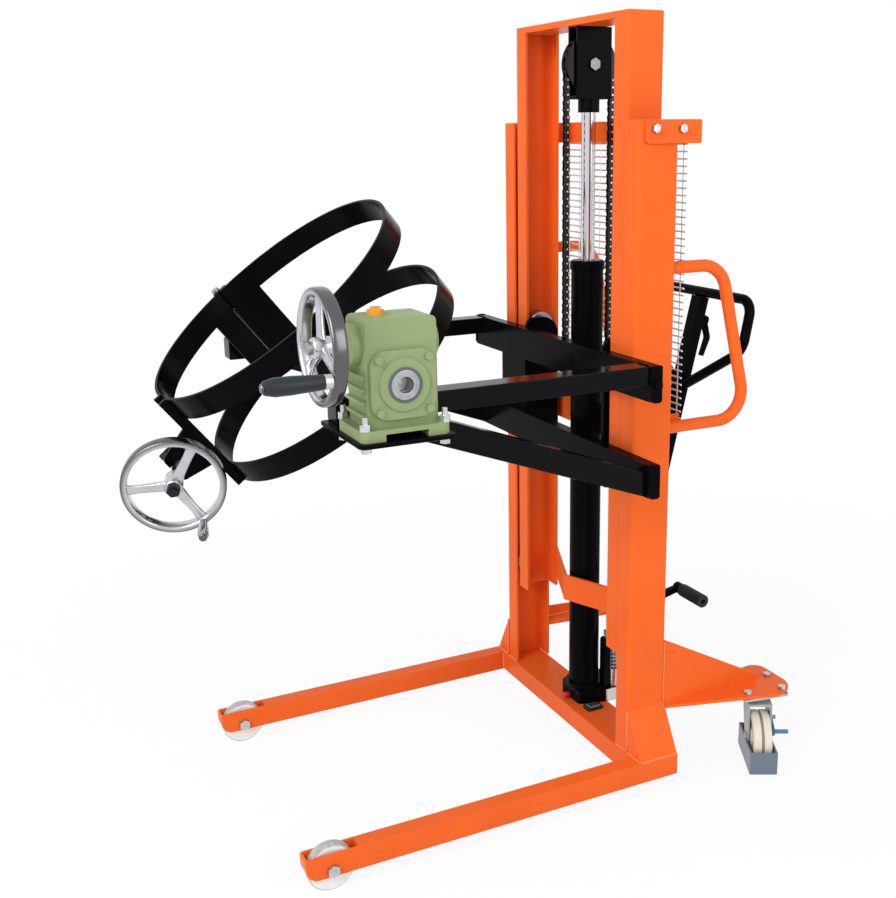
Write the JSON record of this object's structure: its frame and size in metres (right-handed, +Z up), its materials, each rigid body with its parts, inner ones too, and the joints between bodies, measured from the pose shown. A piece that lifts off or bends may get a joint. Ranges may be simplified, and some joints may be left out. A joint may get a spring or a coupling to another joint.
{
  "type": "drum tipper",
  "caption": "Hand-pumped mast lift with straddle legs, whose chain-hung carriage carries a hinged drum clamp that a worm gearbox tilts by handwheel.",
  "frame": {"origin": "floor point under the middle of the mast", "axes": "+Z up, the legs point to -Y, the gearbox is on the +X side"},
  "size_m": [1.0015, 1.4661, 1.704],
  "materials": {
    "orange_paint": "gloss powder coat",
    "black_paint": "gloss enamel",
    "green_casting": "painted casting",
    "zinc": "zinc plated",
    "machined_steel": "machined",
    "chrome": "hard chrome",
    "nylon_white": "moulded nylon",
    "nylon_cream": "moulded nylon",
    "cast_alloy": "polished casting",
    "guard_wire": "coated wire",
    "grip_plastic": "moulded",
    "fork_steel": "grey enamel",
    "chain_steel": "oiled"
  },
  "bodies": {
    "base": {"leg_left": "orange_paint", "leg_right": "orange_paint", "base_crossbeam": "orange_paint", "mast_foot_gussets": "orange_paint", "outer_mast_left": "orange_paint", "outer_mast_right": "orange_paint", "mast_brackets": "orange_paint", "mesh_guard": "guard_wire", "grab_handles": "orange_paint", "rear_chassis": "orange_paint", "frame_bolts": "zinc", "caster_plates": "zinc", "pump_block": "black_paint", "cylinder_tube": "black_paint", "cylinder_gland": "black_paint", "pump_spring": "zinc", "lift_chain_rear": "chain_steel"},
    "inner_mast": {"inner_mast_left": "orange_paint", "inner_mast_right": "orange_paint", "inner_mast_ties": "orange_paint", "piston_rod": "chrome", "crosshead": "black_paint", "lift_chain_wrap": "chain_steel"},
    "carriage": {"carriage_upper_beam": "black_paint", "carriage_lower_beam": "black_paint", "carriage_side_plates": "black_paint", "yoke_arm_left": "black_paint", "yoke_arm_right": "black_paint", "gearbox_foot_plate": "black_paint", "gearbox_housing": "green_casting", "gearbox_cover": "green_casting", "gearbox_bolts": "zinc", "pillow_block": "black_paint", "lift_chain_front": "chain_steel"},
    "worm": {"worm_shaft": "machined_steel", "worm_handwheel": "cast_alloy"},
    "cage": {"drum_cage": "black_paint", "cage_shafts": "machined_steel"},
    "gate": {"drum_gate": "black_paint"},
    "front_roller_right": {"front_roller_right": "nylon_white"},
    "front_roller_left": {"front_roller_left": "nylon_white"},
    "caster_fork_right": {"caster_fork_right": "fork_steel"},
    "caster_fork_left": {"caster_fork_left": "fork_steel"},
    "caster_wheel_right": {"caster_wheel_right": "nylon_cream"},
    "caster_wheel_left": {"caster_wheel_left": "nylon_cream"},
    "caster_brake_right": {"caster_brake_right": "fork_steel"},
    "caster_brake_left": {"caster_brake_left": "fork_steel"},
    "mast_rollers": {"mast_rollers": "machined_steel"},
    "chain_sheave": {"chain_sheave": "machined_steel"},
    "carriage_rollers_upper": {"carriage_rollers_upper": "machined_steel"},
    "carriage_rollers_lower": {"carriage_rollers_lower": "machined_steel"},
    "worm_grip": {"worm_grip": "grip_plastic"},
    "clamp_bolt": {"clamp_bolt": "zinc"},
    "clamp_handwheel": {"clamp_handwheel": "cast_alloy"},
    "clamp_handle": {"clamp_handle": "cast_alloy"},
    "tiller": {"tiller": "black_paint"},
    "release_trigger": {"release_trigger": "black_paint"},
    "foot_pedal": {"foot_pedal": "black_paint"},
    "pump_plunger": {"pump_plunger": "machined_steel"}
  },
  "joints": [
    {"name": "mast_lift", "type": "slide", "parent": "base", "child": "inner_mast", "axis": [0, 0, 1], "range_m": [-0.2, 0.3], "deforming": ["lift_chain_rear"]},
    {"name": "carriage_lift", "type": "slide", "parent": "inner_mast", "child": "carriage", "axis": [0, 0, 1], "range_m": [-0.2, 0.3], "deforming": ["lift_chain_front"]},
    {"name": "sheave_turn", "type": "hinge", "parent": "inner_mast", "child": "chain_sheave", "pos_m": [0, 0.0115, 1.611], "axis": [1, 0, 0], "range_deg": [-298, 199]},
    {"name": "mast_roller_turn", "type": "hinge", "parent": "inner_mast", "child": "mast_rollers", "pos_m": [0, 0, 0.367], "axis": [1, 0, 0], "range_deg": [-411, 274]},
    {"name": "upper_roller_turn", "type": "hinge", "parent": "carriage", "child": "carriage_rollers_upper", "pos_m": [0, 0, 1], "axis": [1, 0, 0], "range_deg": [-311, 466]},
    {"name": "lower_roller_turn", "type": "hinge", "parent": "carriage", "child": "carriage_rollers_lower", "pos_m": [0, 0, 0.735], "axis": [1, 0, 0], "range_deg": [-466, 311]},
    {"name": "cage_tilt", "type": "hinge", "parent": "carriage", "child": "cage", "pos_m": [0, -0.671, 1.06], "axis": [1, 0, 0], "continuous": true},
    {"name": "worm_turn", "type": "hinge", "parent": "carriage", "child": "worm", "pos_m": [0.4875, -0.794, 1.126], "axis": [0, 1, 0], "continuous": true},
    {"name": "worm_grip_spin", "type": "hinge", "parent": "worm", "child": "worm_grip", "pos_m": [0.57109, -0.86, 1.08523], "axis": [0, 1, 0], "continuous": true},
    {"name": "gate_swing", "type": "hinge", "parent": "cage", "child": "gate", "pos_m": [-0.30629, -0.70312, 1.03473], "axis": [0, 0.6184, -0.7859], "range_deg": [0, 35]},
    {"name": "clamp_swing", "type": "hinge", "parent": "gate", "child": "clamp_bolt", "pos_m": [0.01, -0.95391, 0.83737], "axis": [0, 0.6184, -0.7859], "range_deg": [-11, 41]},
    {"name": "clamp_turn", "type": "hinge", "parent": "clamp_bolt", "child": "clamp_handwheel", "pos_m": [0.11394, -0.9822, 0.81511], "axis": [0.9449, -0.2571, -0.2024], "continuous": true},
    {"name": "clamp_handle_spin", "type": "hinge", "parent": "clamp_handwheel", "child": "clamp_handle", "pos_m": [0.14962, -0.93993, 0.73032], "axis": [0.9449, -0.2571, -0.2024], "continuous": true},
    {"name": "front_roller_spin_right", "type": "hinge", "parent": "base", "child": "front_roller_right", "pos_m": [0.335, -0.78, 0.05], "axis": [1, 0, 0], "continuous": true},
    {"name": "front_roller_spin_left", "type": "hinge", "parent": "base", "child": "front_roller_left", "pos_m": [-0.335, -0.78, 0.05], "axis": [1, 0, 0], "continuous": true},
    {"name": "caster_swivel_right", "type": "hinge", "parent": "base", "child": "caster_fork_right", "pos_m": [0.314, 0.308, 0.15], "axis": [0, 0, 1], "continuous": true},
    {"name": "caster_wheel_spin_right", "type": "hinge", "parent": "caster_fork_right", "child": "caster_wheel_right", "pos_m": [0.3449, 0.29157, 0.0625], "axis": [0.4695, 0.8829, 0], "continuous": true},
    {"name": "caster_brake_press_right", "type": "hinge", "parent": "caster_fork_right", "child": "caster_brake_right", "pos_m": [0.34574, 0.3251, 0.1045], "axis": [0.4695, 0.8829, 0], "range_deg": [0, 12]},
    {"name": "caster_swivel_left", "type": "hinge", "parent": "base", "child": "caster_fork_left", "pos_m": [-0.314, 0.308, 0.15], "axis": [0, 0, 1], "continuous": true},
    {"name": "caster_wheel_spin_left", "type": "hinge", "parent": "caster_fork_left", "child": "caster_wheel_left", "pos_m": [-0.2831, 0.29157, 0.0625], "axis": [0.4695, 0.8829, 0], "continuous": true},
    {"name": "caster_brake_press_left", "type": "hinge", "parent": "caster_fork_left", "child": "caster_brake_left", "pos_m": [-0.28226, 0.3251, 0.1045], "axis": [0.4695, 0.8829, 0], "range_deg": [0, 12]},
    {"name": "tiller_lean", "type": "hinge", "parent": "base", "child": "tiller", "pos_m": [0, 0.125, 0.224], "axis": [-1, 0, 0], "range_deg": [0, 50], "stiffness_Nm_per_rad": 40, "springref_deg": -17.19},
    {"name": "trigger_pull", "type": "hinge", "parent": "tiller", "child": "release_trigger", "pos_m": [0, 0.34576, 1.01616], "axis": [-1, 0, 0], "range_deg": [0, 12], "stiffness_Nm_per_rad": 0.8, "springref_deg": -17.19},
    {"name": "pedal_press", "type": "hinge", "parent": "base", "child": "foot_pedal", "pos_m": [0.042, 0.048, 0.238], "axis": [-1, 0, 0], "range_deg": [0, 25], "stiffness_Nm_per_rad": 12, "springref_deg": -20.05},
    {"name": "plunger_stroke", "type": "slide", "parent": "base", "child": "pump_plunger", "axis": [0, 0, 1], "range_m": [-0.0157, 0], "deforming": ["pump_spring"]}
  ],
  "couplings": [
    {"joint": "carriage_lift", "follows": "mast_lift", "ratio": 1},
    {"joint": "sheave_turn", "follows": "mast_lift", "rad_per_m": -17.241},
    {"joint": "mast_roller_turn", "follows": "mast_lift", "rad_per_m": -23.81},
    {"joint": "upper_roller_turn", "follows": "mast_lift", "rad_per_m": 27.027},
    {"joint": "lower_roller_turn", "follows": "mast_lift", "rad_per_m": -27.027},
    {"joint": "worm_turn", "follows": "cage_tilt", "ratio": 20},
    {"joint": "plunger_stroke", "follows": "pedal_press", "m_per_rad": -0.0355}
  ]
}
